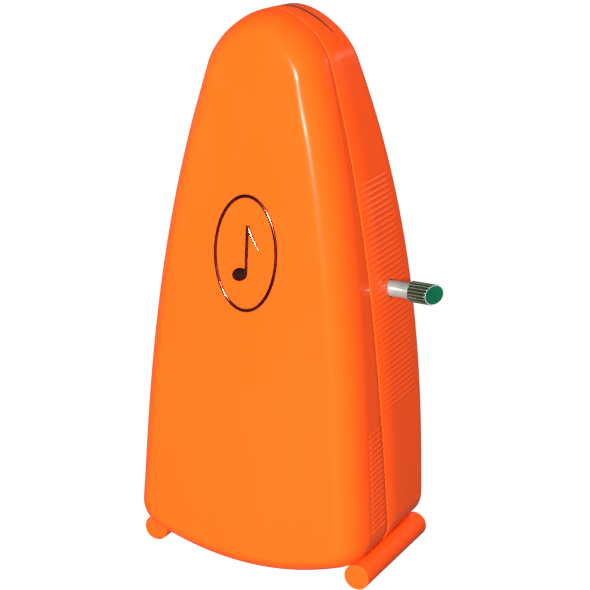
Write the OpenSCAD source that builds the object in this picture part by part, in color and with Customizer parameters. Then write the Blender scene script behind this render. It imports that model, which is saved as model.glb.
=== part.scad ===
// Pocket pyramid metronome: a clockwork movement in a two-part plastic case.
// Frame: the origin is on the table plane, below the middle of the case.
// +X is the winding key's side, -Y is the front cover's side and +Z is up.

/* [Case outline] */
// Height of the crown above the table
case_h = 160; // [158:0.5:162]
// Half width that the side curve starts from at table level
base_half_w = 36.95; // [36.5:0.05:37.5]
// Straight part of the side taper over the full height
side_lean = 8; // [7.5:0.1:8.5]
// Curved part of the side taper over the full height
side_curve = 16.2; // [15.8:0.1:16.6]
// Height of the shoulder corner where side and crown meet
shoulder_z = 150; // [149:0.5:151]
// Height of the lower corner where side and belly meet
corner_z = 9.2; // [9:0.1:10]
// Lowest point of the bowed underside
belly_z = 0.5; // [0.4:0.1:1]

/* [Case depth] */
// Distance of the front face from the middle at table level
front_y = 24; // [23:0.5:25]
// Backward lean of the front face per millimetre of height
front_lean = 0.062; // [0.055:0.001:0.065]
// Outward crown of the front face at half height
front_crown = 2; // [1:0.1:2.5]
// Distance of the parting line in front of the middle at table level
split_y = 0.35; // [0:0.05:0.6]
// Distance of the rear face from the middle at table level
rear_y = 22.9; // [22.5:0.1:24]
// Forward lean of the rear face per millimetre of height
rear_lean = 0.075; // [0.07:0.001:0.08]
// Outward crown of the rear face at half height
rear_crown = 7.4; // [6.5:0.1:8]

/* [Case walls] */
// Wall thickness of the cover and the housing
wall = 1.8; // [1.5:0.1:2]
// Width of the front edge rounding, across the face
edge_inset = 6.9; // [6:0.1:8]
// Depth of the front edge rounding, front to back
edge_depth = 10.6; // [9:0.1:11]
// Half of the gap at the parting line
split_gap = 0.12; // [0.1:0.01:0.2]
// Radius of the clearance hole round the key
key_hole_r = 3; // [2.8:0.1:3.2]

/* [Feet] */
// Distance of each foot rod from the middle
foot_x = 33.3; // [33.2:0.1:33.6]
// Radius of a foot rod
foot_r = 3.8; // [3.7:0.05:3.8]
// Front end of the foot rods, ahead of the middle
foot_front = 16; // [14:0.5:17]
// Rear end of the foot rods, behind the middle
foot_rear = 24.2; // [23:0.1:24.5]

/* [Winding] */
// Height of the winding key's axis
key_z = 82.1; // [81.5:0.1:82.5]
// Distance of the winding key's axis behind the middle
key_y = 8.9; // [8.6:0.1:9.2]
// Radius of the key's smooth shank
key_shank_r = 2.35; // [2.2:0.05:2.5]
// Radius of the key's knurled grip
key_grip_r = 3.05; // [2.8:0.05:3.3]
// Inner end of the grip, from the middle
key_grip_x = 36.6; // [36:0.1:37]
// Middle of the slanted end face, from the middle
key_end_x = 43.8; // [43:0.1:44.5]

/* [Gear train] */
// Module of the train wheels and pinions
gear_module = 0.6; // [0.6:0.01:0.6]
// Teeth of the barrel's great wheel
great_teeth = 32; // [32:1:32]
// Teeth of both pinions
pinion_teeth = 10; // [10:1:10]
// Teeth of the second wheel
second_teeth = 26; // [26:1:26]
// Tips on the escape wheel
escape_teeth = 15; // [12:1:18]
// Tip radius of the escape wheel
escape_r = 6.8; // [6.6:0.1:6.8]
// Teeth of the ratchet wheel
ratchet_teeth = 16; // [14:1:18]

/* [Pendulum] */
// Height of the pendulum's pivot
staff_z = 50; // [50:0.1:50.2]
// Height of the rod's upper tip
rod_top = 131; // [129:0.5:131]
// Height of the lower bob's centre
bob_z = 26; // [25:0.5:27]
// Radius of the lower bob
bob_r = 10.5; // [9.5:0.1:10.5]
// Height of the sliding weight's centre at rest
weight_z = 100; // [98:1:102]

/* [Hidden] */
$fn = 48;

// Running clearance on a radius, and the smallest gap between loose pieces
run_gap = 0.05;
big = 200;

// Outline of the case seen from the front
corner_cut = 6;
shoulder_cut = 3.5;
spine_low = 30;
spine_high = 130;

function half_w(z) = base_half_w - side_lean * z / case_h - side_curve * pow(z / case_h, 3);
corner_x = half_w(corner_z);
shoulder_x = half_w(shoulder_z);
function belly_point(x) = [x, belly_z + (corner_z - belly_z) * pow(x / corner_x, 2)];
function side_point(z) = [half_w(z), z];
function crown_point(x) = [x, case_h - (case_h - shoulder_z) * pow(x / shoulder_x, 2)];
function bend(a, b, c, t) = a * pow(1 - t, 2) + b * 2 * t * (1 - t) + c * t * t;
belly_steps = 8;
side_steps = 14;
crown_steps = 7;
belly_end = belly_point(corner_x - corner_cut);
crown_end = crown_point(shoulder_x - shoulder_cut);
half_outline = concat(
    [for (i = [0:belly_steps]) belly_point(belly_end[0] * i / belly_steps)],
    [for (t = [0.2:0.2:0.8])
        bend(belly_end, side_point(corner_z), side_point(corner_z + corner_cut), t)],
    [for (i = [0:side_steps])
        side_point(corner_z + corner_cut
                   + (shoulder_z - shoulder_cut - corner_z - corner_cut) * i / side_steps)],
    [for (t = [0.2:0.2:0.8])
        bend(side_point(shoulder_z - shoulder_cut), side_point(shoulder_z), crown_end, t)],
    [for (i = [crown_steps:-1:0]) crown_point(crown_end[0] * i / crown_steps)]);
last = len(half_outline) - 1;
ring_n = 2 * last;

// Each outline point moves inward towards an upright line in the middle of the case
function inward(p) = let(v = [0, min(max(p[1], spine_low), spine_high)] - p) v / norm(v);
function inset_half(d) = [for (p = half_outline) p + d * inward(p)];
function inset_loop(d) = let(h = inset_half(d))
    concat(h, [for (i = [last - 1:-1:1]) [-h[i][0], h[i][1]]]);

// Front face, parting line and rear face as depths that depend on height
function swell(z) = z * (case_h - z) * 4 / pow(case_h, 2);
function front_at(z) = -front_y + front_lean * z - front_crown * swell(z);
function split_at(z) = -split_y - 0.016 * z - 2.1 * swell(z);
function rear_at(z) = rear_y - rear_lean * z + rear_crown * swell(z);

// A shell ring: inset, share of the front, split and rear depths, and an extra depth
function ring(s) = [for (p = inset_loop(s[0]))
    [p[0], s[1] * front_at(p[1]) + s[2] * split_at(p[1]) + s[3] * rear_at(p[1]) + s[4], p[1]]];
function cap_faces(o) = concat(
    [[o, o + ring_n - 1, o + 1], [o + last - 1, o + last + 1, o + last]],
    [for (i = [1:last - 2]) each [[o + i, o + ring_n - i, o + ring_n - i - 1],
                                  [o + i, o + ring_n - i - 1, o + i + 1]]]);
function flip(faces) = [for (f = faces) [f[2], f[1], f[0]]];

// Bowl-shaped shell: closed at both ends of the list of rings
module shell(rings) {
    walls = [for (k = [0:len(rings) - 2]) for (i = [0:ring_n - 1])
        let(j = (i + 1) % ring_n, a = k * ring_n, b = a + ring_n)
        each [[a + i, a + j, b + j], [a + i, b + j, b + i]]];
    polyhedron(points = [for (s = rings) each ring(s)],
               faces = concat(cap_faces(0), walls, flip(cap_faces((len(rings) - 1) * ring_n))));
}

edge_angles = [0:15:90];
inner_edge_angles = [90:-15:0];
cover_rings = concat(
    [for (t = edge_angles)
        [edge_inset * (1 - sin(t)), 1, 0, 0, edge_depth * (1 - cos(t))]],
    [[0, 0, 1, 0, -split_gap], [wall, 0, 1, 0, -split_gap]],
    [for (t = inner_edge_angles)
        [wall + (edge_inset - wall) * (1 - sin(t)), 1, 0, 0, wall + (edge_depth - wall) * (1 - cos(t))]]);

draft = 0.4;
rear_round = 2.1;
housing_rings = concat(
    [[wall + draft + 0.6, 0, 0, 1, -wall], [wall + draft, 0, 0, 1, -wall - 0.6],
     [wall, 0, 1, 0, split_gap], [0, 0, 1, 0, split_gap],
     [draft / 2, 0, 0.5, 0.5, -rear_round / 2]],
    [for (t = [0:30:90])
        [draft + rear_round * (1 - cos(t)), 0, 0, 1, rear_round * (sin(t) - 1)]]);

// Prisms and round bars along each axis; a profile's two axes keep their order
module slab_x(x1, x2) {
    translate([x1, 0, 0]) rotate([90, 0, 90]) linear_extrude(x2 - x1) children();
}
module slab_y(y1, y2) {
    translate([0, y2, 0]) rotate([90, 0, 0]) linear_extrude(y2 - y1) children();
}
module bar_x(x1, x2, r, y, z) {
    translate([x1, y, z]) rotate([0, 90, 0]) cylinder(h = x2 - x1, r = r);
}
module bar_y(y1, y2, r, x, z) {
    translate([x, y1, z]) rotate([-90, 0, 0]) cylinder(h = y2 - y1, r = r);
}
module bar_z(z1, z2, r, x, y) {
    translate([x, y, z1]) cylinder(h = z2 - z1, r = r);
}
module block(x, y, z) {
    translate([x[0], y[0], z[0]]) cube([x[1] - x[0], y[1] - y[0], z[1] - z[0]]);
}

// Involute gears, drawn in a plane with a tooth or a gap at a given angle
pressure_angle = 25;
addendum = 0.8 * gear_module;
dedendum = gear_module;
tooth_play = 0.08;
flank_steps = 3;
function polar(r, a) = [r * cos(a), r * sin(a)];
function pitch_r(teeth) = gear_module * teeth / 2;
function base_r(teeth) = pitch_r(teeth) * cos(pressure_angle);
function involute_deg(base, r) = let(t = sqrt(max(0, pow(r / base, 2) - 1))) t * 180 / PI - atan(t);
function half_tooth(teeth, r) = 90 / teeth - tooth_play / 2 / pitch_r(teeth) * 180 / PI / 2
    + involute_deg(base_r(teeth), pitch_r(teeth)) - involute_deg(base_r(teeth), max(r, base_r(teeth)));
function flank(teeth) = let(root = pitch_r(teeth) - dedendum, tip = pitch_r(teeth) + addendum,
                            start = max(root, base_r(teeth)))
    concat(root < start - 0.001 ? [root] : [],
           [for (k = [0:flank_steps]) start + (tip - start) * k / flank_steps]);
module gear_profile(teeth, turn) {
    f = flank(teeth);
    polygon([for (i = [0:teeth - 1]) let(a = turn + 360 * i / teeth) each concat(
        [for (r = f) polar(r, a - half_tooth(teeth, r))],
        [for (k = [len(f) - 1:-1:0]) polar(f[k], a + half_tooth(teeth, f[k]))])]);
}
module crossings(r1, r2, count) {
    for (i = [0:count - 1]) translate(polar((r1 + r2) / 2, 360 * (i + 0.5) / count))
        circle(r = (r2 - r1) / 2);
}
function sawtooth(r, depth, teeth) = [for (i = [0:teeth - 1]) let(a = 360 / teeth)
    each [polar(r, i * a), polar(r - depth, (i + 0.06) * a)]];

// Train layout: everything hangs below the key's axis
mesh_turn = 90;
second_z = key_z - pitch_r(great_teeth) - pitch_r(pinion_teeth);
escape_z = second_z - pitch_r(second_teeth) - pitch_r(pinion_teeth);
pinion_turn = mesh_turn + 180 / pinion_teeth;
plate_x = 9;
plate_t = 1.2;
plate_out = plate_x + plate_t;
great_x = [-4.6, -3.2];
drum_x = [-3.2, 6.5];
second_x = [-7.4, -6.4];
arbor_r = 1;
pivot_r = 0.6;
barrel_arbor_r = 1.9;
arbor_end_r = 1.5;
hook_r = 3;
drum_r = 8.2;
spring_r = [3.5, 6.9];

// Front panel and movement plates
panel_y = [-3.9, -2.1];
panel_inset = wall + 0.5;
panel_posts = [[24, 20], [12.5, 140]];
post_r = 2.6;
screw_r = 0.85;
screw_grip = 7;
head_t = 1.1;
panel_head_r = 2.1;
lug_head_r = 1.9;
lug_x = 13.5;
lug_half = 3;
lug_heights = [56, 88];
catch_place = [16, 127];
catch_pin_r = 1.2;
catch_t = 0.6;
scale_t = 0.6;
scale_z = [67, 124];
scale_half = [11, 8];
plate_y = [panel_y[1], 18];
plate_z = [43, 96];
pillar_places = [[3, 45.5], [0.6, 92.8], [16.2, 92.4]];
pillar_r = 1.6;
pillar_head_r = 1.5;
pillar_head_t = 0.9;
bridge_y = [16.2, 17.4];
bridge_z = [45, 55];
bridge_screw = [13.5, 47.5];

// Pendulum layout, front to back
rod_y = [-8.5, -7.5];
rod_half = 1;
staff_r = 1;
bush_r = 2.2;
weight_y = [-10.5, -5.5];
weight_half = [6.5, 5.2];
weight_half_h = 5;

// Feet
flat_cut = 0.15;
foot_z = foot_r - flat_cut;
foot_boss_x = 30.3;
foot_screw_places = [8, 18];
boss_top = 9;
foot_head_r = 2;
foot_head_t = 1.2;
foot_edge = 0.6;

// Slot across the top of the housing
slot_half = 13.5;
slot_y = [2.6, 3.8];
slot_floor = 148;

module both_sides() {
    children();
    mirror([1, 0, 0]) children();
}

module rear_housing() color([0.9, 0.32, 0.12]) difference() {
    union() {
        shell(housing_rings);
        both_sides() {
            for (p = panel_posts) bar_y(panel_y[1], rear_at(p[1]) - wall / 2, post_r, p[0], p[1]);
            for (y = foot_screw_places) bar_z(foot_z, boss_top, post_r, foot_boss_x, y);
        }
    }
    bar_x(half_w(key_z) - 3 * wall, half_w(key_z) + 3 * wall, key_hole_r, key_y, key_z);
    block([-slot_half, slot_half], slot_y, [slot_floor, case_h + 1]);
    both_sides() {
        for (p = panel_posts) bar_y(panel_y[0], panel_y[1] + screw_grip + 1, screw_r, p[0], p[1]);
        for (y = foot_screw_places) {
            bar_z(0, boss_top + 1, screw_r + run_gap, foot_boss_x, y);
            bar_z(boss_top, boss_top + 2 * foot_head_t, foot_head_r + run_gap, foot_boss_x, y);
        }
        bar_y(-big, big, foot_r, foot_x, foot_z);
    }
}

module front_cover() color([0.96, 0.51, 0.12]) shell(cover_rings);

// Thin oval rim with a plain eighth note inside, tilted to lie on the front face
badge_z = 95.3;
badge_size = [10, 16.5];
badge_rim = 0.8;
badge_t = 0.45;
badge_tilt = atan(front_lean - front_crown * 4 * (case_h - 2 * badge_z) / pow(case_h, 2));
note_head = [-1.6, -6];
note_head_r = 2.2;
note_stem = [[0, -6], [0.8, -6], [0.8, 5], [4, 1.5], [4.4, 2.2], [0.8, 8], [0, 8]];
module badge_oval(inset) polygon([for (a = [0:7.5:352.5])
    [(badge_size[0] - inset) * cos(a), (badge_size[1] - inset) * sin(a)]]);
module cover_badge() color([0.35, 0.16, 0.1])
    translate([0, front_at(badge_z) - 0.01, badge_z]) rotate([-badge_tilt, 0, 0])
        slab_y(-badge_t, 0) {
            difference() {
                badge_oval(0);
                badge_oval(badge_rim);
            }
            translate(note_head) circle(r = note_head_r);
            polygon(note_stem);
        }

module foot_rod() {
    difference() {
        translate([foot_x, 0, foot_z]) rotate([-90, 0, 0]) rotate_extrude() polygon([
            [0, -foot_front], [foot_r - foot_edge, -foot_front], [foot_r, -foot_front + foot_edge],
            [foot_r, foot_rear - foot_edge], [foot_r - foot_edge, foot_rear], [0, foot_rear]]);
        block([0, big], [-big, big], [-foot_r, 0]);
        for (y = foot_screw_places) bar_z(foot_z, foot_z + big, screw_r, foot_boss_x, y);
    }
}
module foot_rod_right() color([0.96, 0.4, 0.1]) foot_rod();
module foot_rod_left() color([0.96, 0.4, 0.1]) mirror([1, 0, 0]) foot_rod();

module foot_screws() color("silver") both_sides() for (y = foot_screw_places) {
    bar_z(foot_z + 0.2, boss_top, screw_r, foot_boss_x, y);
    bar_z(boss_top, boss_top + foot_head_t, foot_head_r, foot_boss_x, y);
}

module front_panel() color([0.25, 0.25, 0.27]) difference() {
    slab_y(panel_y[0], panel_y[1]) polygon(inset_loop(panel_inset));
    bar_y(-10, 0, bush_r, 0, staff_z);
    both_sides() {
        for (p = panel_posts) bar_y(-10, 0, screw_r, p[0], p[1]);
        for (z = lug_heights) bar_y(-10, 0, screw_r, lug_x, z);
    }
    bar_y(-10, 0, catch_pin_r, catch_place[0], catch_place[1]);
}

module panel_screws() color("silver") both_sides() for (p = panel_posts) {
    bar_y(panel_y[0], panel_y[1] + screw_grip, screw_r, p[0], p[1]);
    bar_y(panel_y[0] - head_t, panel_y[0], panel_head_r, p[0], p[1]);
}

module lug_screws() color("silver") both_sides() for (z = lug_heights) {
    bar_y(panel_y[0], panel_y[1] + plate_t, screw_r, lug_x, z);
    bar_y(panel_y[0] - head_t, panel_y[0], lug_head_r, lug_x, z);
}

module scale_plate() color([0.9, 0.88, 0.8]) slab_y(panel_y[0] - scale_t, panel_y[0])
    polygon([[-scale_half[0], scale_z[0]], [scale_half[0], scale_z[0]],
             [scale_half[1], scale_z[1]], [-scale_half[1], scale_z[1]]]);

// Riveted foot with one arm that the parked rod rests behind
module rod_catch() color("silver") {
    arm = catch_place[0] + 2.3;
    heights = [catch_place[1] - 2, catch_place[1] + 2];
    bar_y(panel_y[0], panel_y[1], catch_pin_r, catch_place[0], catch_place[1]);
    block([catch_place[0] - 1.6, arm + 1.1], [panel_y[0] - catch_t, panel_y[0]], heights);
    block([arm, arm + 1.1], [rod_y[0] - 0.9, panel_y[0] - catch_t], heights);
}

// One movement plate with its bearing holes and two bent lugs
module movement_plate() {
    difference() {
        union() {
            slab_x(plate_x, plate_out) polygon([
                [plate_y[0], plate_z[0]], [plate_y[1] - 3, plate_z[0]], [plate_y[1], plate_z[0] + 3],
                [plate_y[1], plate_z[1] - 3], [plate_y[1] - 3, plate_z[1]], [plate_y[0], plate_z[1]]]);
            for (z = lug_heights)
                block([plate_out, lug_x + lug_half], [panel_y[1], panel_y[1] + plate_t], [z - 4, z + 4]);
        }
        for (p = pillar_places) bar_x(0, big, screw_r, p[0], p[1]);
        bar_x(0, big, screw_r, bridge_screw[0], bridge_screw[1]);
        for (z = [second_z, escape_z]) bar_x(0, big, pivot_r + run_gap, key_y, z);
        for (z = lug_heights) bar_y(-10, 0, screw_r, lug_x, z);
        children();
    }
}
click_pivot = [2.6, 89.6];
spring_anchor = [11, 93];
module movement_plate_right() color("goldenrod") movement_plate() {
    bar_x(0, big, barrel_arbor_r + run_gap, key_y, key_z);
    bar_x(0, big, screw_r, spring_anchor[0], spring_anchor[1]);
}
module movement_plate_left() color("goldenrod") mirror([1, 0, 0]) movement_plate()
    bar_x(0, big, arbor_end_r + run_gap, key_y, key_z);

module plate_pillars() color("goldenrod") for (p = pillar_places) difference() {
    bar_x(-plate_x, plate_x, pillar_r, p[0], p[1]);
    both_sides() bar_x(plate_x - 4, plate_x + 1, screw_r, p[0], p[1]);
}

module pillar_screws() color("silver") both_sides() for (p = pillar_places) {
    bar_x(plate_x - 3.8, plate_out, screw_r, p[0], p[1]);
    bar_x(plate_out, plate_out + pillar_head_t, pillar_head_r, p[0], p[1]);
}

module rear_bridge() color("goldenrod") difference() {
    union() {
        block([-plate_x, plate_x], bridge_y, bridge_z);
        both_sides() block([plate_x - plate_t, plate_x], [bridge_y[0] - 4.7, bridge_y[0]], bridge_z);
    }
    bar_y(10, 20, staff_r + run_gap, 0, staff_z);
    bar_x(-big, big, screw_r, bridge_screw[0], bridge_screw[1]);
}
module bridge_screws() color("silver") both_sides() {
    bar_x(plate_x - plate_t, plate_out, screw_r, bridge_screw[0], bridge_screw[1]);
    bar_x(plate_out, plate_out + pillar_head_t, pillar_head_r, bridge_screw[0], bridge_screw[1]);
}

module front_bush() color("goldenrod") difference() {
    union() {
        bar_y(panel_y[0], panel_y[1] + 0.6, bush_r, 0, staff_z);
        bar_y(panel_y[0] - 0.5, panel_y[0], bush_r + 1, 0, staff_z);
    }
    bar_y(-10, 0, staff_r + run_gap, 0, staff_z);
}

module pendulum_staff() color("silver") bar_y(-10, bridge_y[1] + 0.3, staff_r, 0, staff_z);

module pendulum_hub() color("goldenrod") difference() {
    bar_y(rod_y[1], -5.2, 3.4, 0, staff_z);
    bar_y(-10, 0, staff_r, 0, staff_z);
}

module pendulum_nut() color("silver") difference() {
    translate([0, -10, staff_z]) rotate([-90, 0, 0]) cylinder(h = rod_y[0] + 10, r = 2.2, $fn = 6);
    bar_y(-11, 0, staff_r, 0, staff_z);
}

module pendulum_rod() color("silver") slab_y(rod_y[0], rod_y[1]) difference() {
    union() {
        polygon([[-rod_half, bob_z - bob_r - 1.5], [rod_half, bob_z - bob_r - 1.5],
                 [rod_half, rod_top - 1], [0.4, rod_top], [-0.4, rod_top], [-rod_half, rod_top - 1]]);
        translate([0, staff_z]) circle(r = 2.8);
    }
    translate([0, staff_z]) circle(r = staff_r);
}

module lower_bob() color([0.45, 0.45, 0.47]) difference() {
    bar_y(-12.2, -4.7, bob_r, 0, bob_z);
    block([-rod_half, rod_half], rod_y, [0, staff_z]);
}

module sliding_weight() color("goldenrod") difference() {
    slab_y(weight_y[0], weight_y[1]) polygon([
        [-weight_half[0], weight_z - weight_half_h], [weight_half[0], weight_z - weight_half_h],
        [weight_half[1], weight_z + weight_half_h], [-weight_half[1], weight_z + weight_half_h]]);
    block([-rod_half - run_gap, rod_half + run_gap], [rod_y[0] - run_gap, rod_y[1] + run_gap],
          [0, big]);
    block([-1.6, 1.6], [rod_y[1], -6.4], [weight_z - 3.6, weight_z + 3.6]);
}

// Bowed leaf that presses the sliding weight's rod slot
spring_leaf = [for (i = [-4:4]) [-6.65 - 0.72 * (1 - pow(i / 4, 2)), weight_z + i * 0.86]];
module weight_spring() color("silver") slab_x(-1.3, 1.3) polygon(concat(
    spring_leaf, [for (i = [8:-1:0]) spring_leaf[i] + [0.22, 0]]));

// Collet with two blades, one each side of the escape wheel's lowest tips
module pallets() color("silver") difference() {
    union() {
        bar_y(key_y - 5.7, key_y + 5.7, 1.55, 0, staff_z);
        for (s = [-1, 1]) translate([0, key_y + s * 5.3, staff_z]) rotate([0, s * 22, 0])
            block([-0.4, 0.4], [-0.4, 0.4], [0, 3.6]);
    }
    bar_y(-big, big, staff_r, 0, staff_z);
}

module winding_arbor() color("silver") {
    bar_x(-plate_out, -plate_x + 0.2, arbor_end_r, key_y, key_z);
    bar_x(-plate_x + 0.2, lug_x, barrel_arbor_r, key_y, key_z);
    bar_x(lug_x, half_w(key_z) + 2, arbor_end_r, key_y, key_z);
    bar_x(drum_x[0] + 1.2, drum_x[1] - 0.2, hook_r, key_y, key_z);
}

module winding_key() color("silver") difference() {
    union() {
        bar_x(half_w(key_z) - 8, key_grip_x, key_shank_r, key_y, key_z);
        bar_x(key_grip_x, key_end_x + 2.5, key_grip_r, key_y, key_z);
    }
    bar_x(0, half_w(key_z) + 2, arbor_end_r, key_y, key_z);
    translate([key_end_x, key_y, key_z]) rotate([0, 0, -30]) block([0, 20], [-20, 20], [-20, 20]);
}

ratchet_x = [10.6, 11.8];
ratchet_r = 6.2;
module ratchet_wheel() color("goldenrod") slab_x(ratchet_x[0], ratchet_x[1])
    translate([key_y, key_z]) difference() {
        polygon(sawtooth(ratchet_r, 0.9, ratchet_teeth));
        circle(r = barrel_arbor_r);
    }

// Pawl on its stud; the nose stops just short of the ratchet's tips
click_reach = 0.18;
click_nose = [key_y, key_z] + polar(ratchet_r + click_reach, 84);
module click() color("silver") slab_x(ratchet_x[0], ratchet_x[1]) difference() {
    union() {
        translate(click_pivot) circle(r = 1.7);
        polygon([click_pivot + [0.6, -1], click_nose + [-0.7, 0.5], click_nose, click_nose + [0.25, 0],
                 click_nose + [0.4, 1.4], click_pivot + [0.6, 1.4]]);
    }
    translate(click_pivot) circle(r = screw_r + run_gap);
}
module click_stud() color("silver") {
    bar_x(plate_out, ratchet_x[1] + 0.2, screw_r, click_pivot[0], click_pivot[1]);
    bar_x(ratchet_x[1] + 0.2, ratchet_x[1] + 1, 1.8, click_pivot[0], click_pivot[1]);
    bar_x(plate_out, ratchet_x[0] - 0.05, 1.5, click_pivot[0], click_pivot[1]);
}
// Leaf spring above the pawl, held by its own stud
module click_spring() color("silver") {
    bar_x(plate_x, plate_out, screw_r, spring_anchor[0], spring_anchor[1]);
    slab_x(plate_out, ratchet_x[1])
        polygon([spring_anchor + [1, 0.9], spring_anchor + [-1, 0.9], spring_anchor + [-4.8, -0.9],
                 spring_anchor + [-4.6, -1.15], spring_anchor + [-0.8, 0], spring_anchor + [-0.8, -0.9],
                 spring_anchor + [1, -0.9]]);
}

module barrel() color("goldenrod") difference() {
    union() {
        slab_x(great_x[0], great_x[1]) translate([key_y, key_z]) gear_profile(great_teeth, -mesh_turn);
        bar_x(drum_x[0], drum_x[1], drum_r, key_y, key_z);
    }
    bar_x(drum_x[0] + 1, drum_x[1] + 1, drum_r - 0.9, key_y, key_z);
    bar_x(-big, big, barrel_arbor_r + run_gap, key_y, key_z);
}
module barrel_cap() color("goldenrod") difference() {
    bar_x(drum_x[1], drum_x[1] + 0.8, drum_r, key_y, key_z);
    bar_x(-big, big, barrel_arbor_r + run_gap, key_y, key_z);
}

// Coiled strip drawn as one spiral band inside the drum
coil_turns = 4.5;
coil_step = 15;
strip_t = 0.3;
function coil(a) = spring_r[0] + (spring_r[1] - spring_r[0]) * a / (360 * coil_turns);
module mainspring() color([0.3, 0.35, 0.45]) slab_x(drum_x[0] + 1.4, drum_x[1] - 0.4)
    translate([key_y, key_z]) polygon(concat(
        [for (a = [0:coil_step:360 * coil_turns]) polar(coil(a), a)],
        [for (a = [360 * coil_turns:-coil_step:0]) polar(coil(a) + strip_t, a)]));

// An arbor with thin pivots that turn in the two plates, and its pinion
module train_arbor(z, pinion) {
    bar_x(-plate_out, plate_out, pivot_r, key_y, z);
    bar_x(-plate_x + 0.2, plate_x - 0.2, arbor_r, key_y, z);
    slab_x(pinion[0], pinion[1]) translate([key_y, z]) gear_profile(pinion_teeth, pinion_turn);
}
module second_arbor() color("silver") train_arbor(second_z, [-5.6, -2.4]);
module escape_arbor() color("silver") train_arbor(escape_z, [-8.2, -5.8]);

module second_wheel() color("goldenrod") slab_x(second_x[0], second_x[1])
    translate([key_y, second_z]) difference() {
        gear_profile(second_teeth, -mesh_turn);
        circle(r = arbor_r);
        crossings(2, 6.2, 5);
    }

module escape_wheel() color("goldenrod") slab_x(-0.6, 0.6)
    translate([key_y, escape_z]) difference() {
        polygon([for (i = [0:escape_teeth - 1]) let(a = 360 / escape_teeth) each [
            polar(escape_r - 1.6, (i - 0.5) * a), polar(escape_r, i * a), polar(escape_r, (i + 0.08) * a),
            polar(escape_r - 1.6, (i + 0.22) * a)]]);
        circle(r = arbor_r);
        crossings(1.9, 4.5, 5);
    }

rear_housing();
front_cover();
cover_badge();
foot_rod_left();
foot_rod_right();
foot_screws();
front_panel();
panel_screws();
scale_plate();
rod_catch();
movement_plate_left();
movement_plate_right();
plate_pillars();
pillar_screws();
lug_screws();
rear_bridge();
bridge_screws();
front_bush();
pendulum_staff();
pendulum_hub();
pendulum_nut();
pendulum_rod();
lower_bob();
sliding_weight();
weight_spring();
pallets();
winding_arbor();
winding_key();
ratchet_wheel();
click();
click_stud();
click_spring();
barrel();
barrel_cap();
mainspring();
second_arbor();
second_wheel();
escape_arbor();
escape_wheel();
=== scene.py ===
"""Pocket pyramid metronome: fine case shells, key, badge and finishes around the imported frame.

All sizes below are in millimetres in the row frame and are turned into metres when a mesh is made.
"""
import math

import bmesh
import bpy
import numpy as np
from mathutils import Matrix, Vector


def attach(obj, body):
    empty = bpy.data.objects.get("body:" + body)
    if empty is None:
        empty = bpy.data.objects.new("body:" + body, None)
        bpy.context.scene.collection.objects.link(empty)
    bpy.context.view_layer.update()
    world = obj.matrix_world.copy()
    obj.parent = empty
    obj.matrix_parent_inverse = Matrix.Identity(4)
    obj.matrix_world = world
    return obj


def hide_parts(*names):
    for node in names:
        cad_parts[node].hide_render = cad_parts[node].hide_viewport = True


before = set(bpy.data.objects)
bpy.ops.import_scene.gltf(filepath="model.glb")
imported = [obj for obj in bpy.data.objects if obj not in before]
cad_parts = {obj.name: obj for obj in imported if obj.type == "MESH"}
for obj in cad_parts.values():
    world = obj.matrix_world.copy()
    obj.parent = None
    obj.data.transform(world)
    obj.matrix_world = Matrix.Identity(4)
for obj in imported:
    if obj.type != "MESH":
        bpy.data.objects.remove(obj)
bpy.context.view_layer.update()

MM = 0.001
TAU = 2 * math.pi


# ---------------------------------------------------------------- camera

CAMERA_AZIMUTH = 27.88
CAMERA_ELEVATION = 18.31
CAMERA_DISTANCE = 500.6
CAMERA_LENS = 107.3
SENSOR_WIDTH = 36
CLIP_START, CLIP_END = 0.02, 50  # metres
CAMERA_ROLL = 0.35
AIM_RIGHT = 4.22
AIM_UP = -2.18
CASE_MIDDLE_Z = 80.0


def direction(azimuth, elevation):
    """The unit vector towards an azimuth from the front and an elevation, in degrees."""
    a, e = math.radians(azimuth), math.radians(elevation)
    return Vector((math.sin(a) * math.cos(e), -math.cos(a) * math.cos(e), math.sin(e)))


def make_camera():
    back = direction(CAMERA_AZIMUTH, CAMERA_ELEVATION)
    right = Vector((-back.y, back.x, 0)).normalized()
    up = back.cross(right)
    roll = Matrix.Rotation(math.radians(CAMERA_ROLL), 3, back)
    right, up = roll @ right, roll @ up
    aim = Vector((0, 0, CASE_MIDDLE_Z)) + right * AIM_RIGHT + up * AIM_UP
    data = bpy.data.cameras.new("camera")
    data.sensor_width = SENSOR_WIDTH
    data.lens = CAMERA_LENS
    data.clip_start = CLIP_START
    data.clip_end = CLIP_END
    camera = bpy.data.objects.new("camera", data)
    turn = Matrix((right, up, back)).transposed().to_4x4()
    camera.matrix_world = Matrix.Translation((aim + back * CAMERA_DISTANCE) * MM) @ turn
    bpy.context.collection.objects.link(camera)
    bpy.context.scene.camera = camera


make_camera()


# ---------------------------------------------------------------- node helpers

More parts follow.
